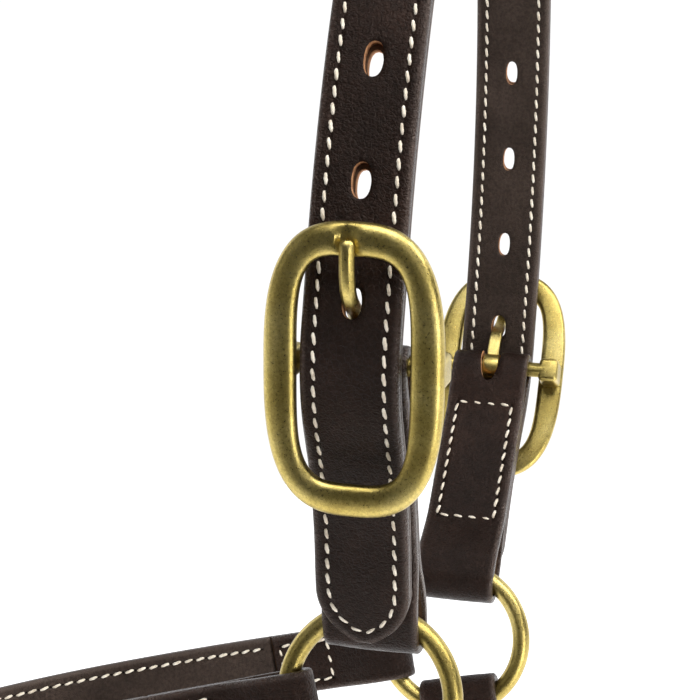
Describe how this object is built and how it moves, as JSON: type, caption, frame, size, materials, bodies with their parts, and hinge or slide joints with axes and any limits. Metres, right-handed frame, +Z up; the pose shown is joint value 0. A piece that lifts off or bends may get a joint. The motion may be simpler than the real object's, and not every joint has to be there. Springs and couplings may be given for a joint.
{
  "type": "leather headcollar",
  "caption": "Stitched leather headcollar with a crown strap buckled at both cheeks, brass rings, cheekpieces, noseband, throat strap and chin straps with a lead ring.",
  "frame": {"origin": "the middle of the crown strap's inner face, where it rests on the poll", "axes": "+Z up, -Y towards the wearer's nose, +X towards the wearer's left"},
  "size_m": [0.2312, 0.317, 0.5193],
  "materials": {
    "strap_leather": "satin dark brown bridle leather",
    "lining_leather": "matt brown lining leather",
    "brass": "satin cast brass"
  },
  "bodies": {
    "crown": {"crown_outer": "strap_leather", "crown_lining": "lining_leather", "left_buckle_tab": "strap_leather", "right_buckle_tab": "strap_leather"},
    "left_buckle": {"left_buckle_frame": "brass"},
    "right_buckle": {"right_buckle_frame": "brass"},
    "left_tongue": {"left_buckle_tongue": "brass"},
    "right_tongue": {"right_buckle_tongue": "brass"},
    "left_upper_ring": {"left_upper_ring": "brass"},
    "right_upper_ring": {"right_upper_ring": "brass"},
    "left_cheekpiece": {"left_cheekpiece": "strap_leather"},
    "right_cheekpiece": {"right_cheekpiece": "strap_leather"},
    "left_noseband_ring": {"left_noseband_ring": "brass"},
    "right_noseband_ring": {"right_noseband_ring": "brass"},
    "noseband": {"noseband_outer": "strap_leather", "noseband_lining": "lining_leather"},
    "throat_strap": {"throat_strap_outer": "strap_leather", "throat_strap_lining": "lining_leather"},
    "left_chin_strap": {"left_chin_strap": "strap_leather"},
    "right_chin_strap": {"right_chin_strap": "strap_leather"},
    "lead_ring": {"lead_ring": "brass"}
  },
  "joints": [
    {"name": "left_buckle_rock", "type": "hinge", "parent": "crown", "child": "left_buckle", "pos_m": [0.09456, 0.01727, -0.17935], "axis": [0, 0.9954, 0.0958], "range_deg": [-1.5, 1.5]},
    {"name": "right_buckle_rock", "type": "hinge", "parent": "crown", "child": "right_buckle", "pos_m": [-0.09456, 0.01727, -0.17935], "axis": [0, -0.9954, -0.0958], "range_deg": [-1.5, 1.5]},
    {"name": "left_tongue_lift", "type": "hinge", "parent": "left_buckle", "child": "left_tongue", "pos_m": [0.09456, 0.01727, -0.17935], "axis": [0, 0.9954, 0.0958], "range_deg": [0, 1.2]},
    {"name": "right_tongue_lift", "type": "hinge", "parent": "right_buckle", "child": "right_tongue", "pos_m": [-0.09456, 0.01727, -0.17935], "axis": [0, -0.9954, -0.0958], "range_deg": [0, 1.2]},
    {"name": "left_upper_ring_spin", "type": "hinge", "parent": "crown", "child": "left_upper_ring", "pos_m": [0.05664, 0.02581, -0.26805], "axis": [1, 0, 0], "continuous": true},
    {"name": "right_upper_ring_spin", "type": "hinge", "parent": "crown", "child": "right_upper_ring", "pos_m": [-0.05664, 0.02581, -0.26805], "axis": [1, 0, 0], "continuous": true},
    {"name": "throat_strap_swing", "type": "hinge", "parent": "crown", "child": "throat_strap", "pos_m": [0.05664, 0.02581, -0.26805], "axis": [1, 0, 0], "range_deg": [-8, 25]},
    {"name": "left_cheekpiece_swing", "type": "hinge", "parent": "crown", "child": "left_cheekpiece", "pos_m": [0.05664, 0.02581, -0.26805], "axis": [1, 0, 0], "range_deg": [-12, 8]},
    {"name": "right_cheekpiece_swing", "type": "hinge", "parent": "crown", "child": "right_cheekpiece", "pos_m": [-0.05664, 0.02581, -0.26805], "axis": [1, 0, 0], "range_deg": [-12, 8]},
    {"name": "left_noseband_ring_spin", "type": "hinge", "parent": "left_cheekpiece", "child": "left_noseband_ring", "pos_m": [0.055, 0.00326, -0.45167], "axis": [1, 0, 0], "continuous": true},
    {"name": "right_noseband_ring_spin", "type": "hinge", "parent": "right_cheekpiece", "child": "right_noseband_ring", "pos_m": [-0.055, 0.00326, -0.45167], "axis": [1, 0, 0], "continuous": true},
    {"name": "noseband_swing", "type": "hinge", "parent": "left_cheekpiece", "child": "noseband", "pos_m": [0.055, 0.00326, -0.45167], "axis": [1, 0, 0], "range_deg": [-13, 20]},
    {"name": "left_chin_strap_swing", "type": "hinge", "parent": "left_cheekpiece", "child": "left_chin_strap", "pos_m": [0.055, 0.00326, -0.45167], "axis": [1, 0, 0], "range_deg": [-25, 25]},
    {"name": "right_chin_strap_swing", "type": "hinge", "parent": "right_cheekpiece", "child": "right_chin_strap", "pos_m": [-0.055, 0.00326, -0.45167], "axis": [1, 0, 0], "range_deg": [-25, 25]},
    {"name": "lead_ring_spin", "type": "hinge", "parent": "left_chin_strap", "child": "lead_ring", "pos_m": [0, 0.05575, -0.49268], "axis": [0, 0.788, -0.6157], "continuous": true}
  ],
  "couplings": [
    {"joint": "right_cheekpiece_swing", "follows": "left_cheekpiece_swing", "ratio": 1},
    {"joint": "right_chin_strap_swing", "follows": "left_chin_strap_swing", "ratio": 1}
  ]
}
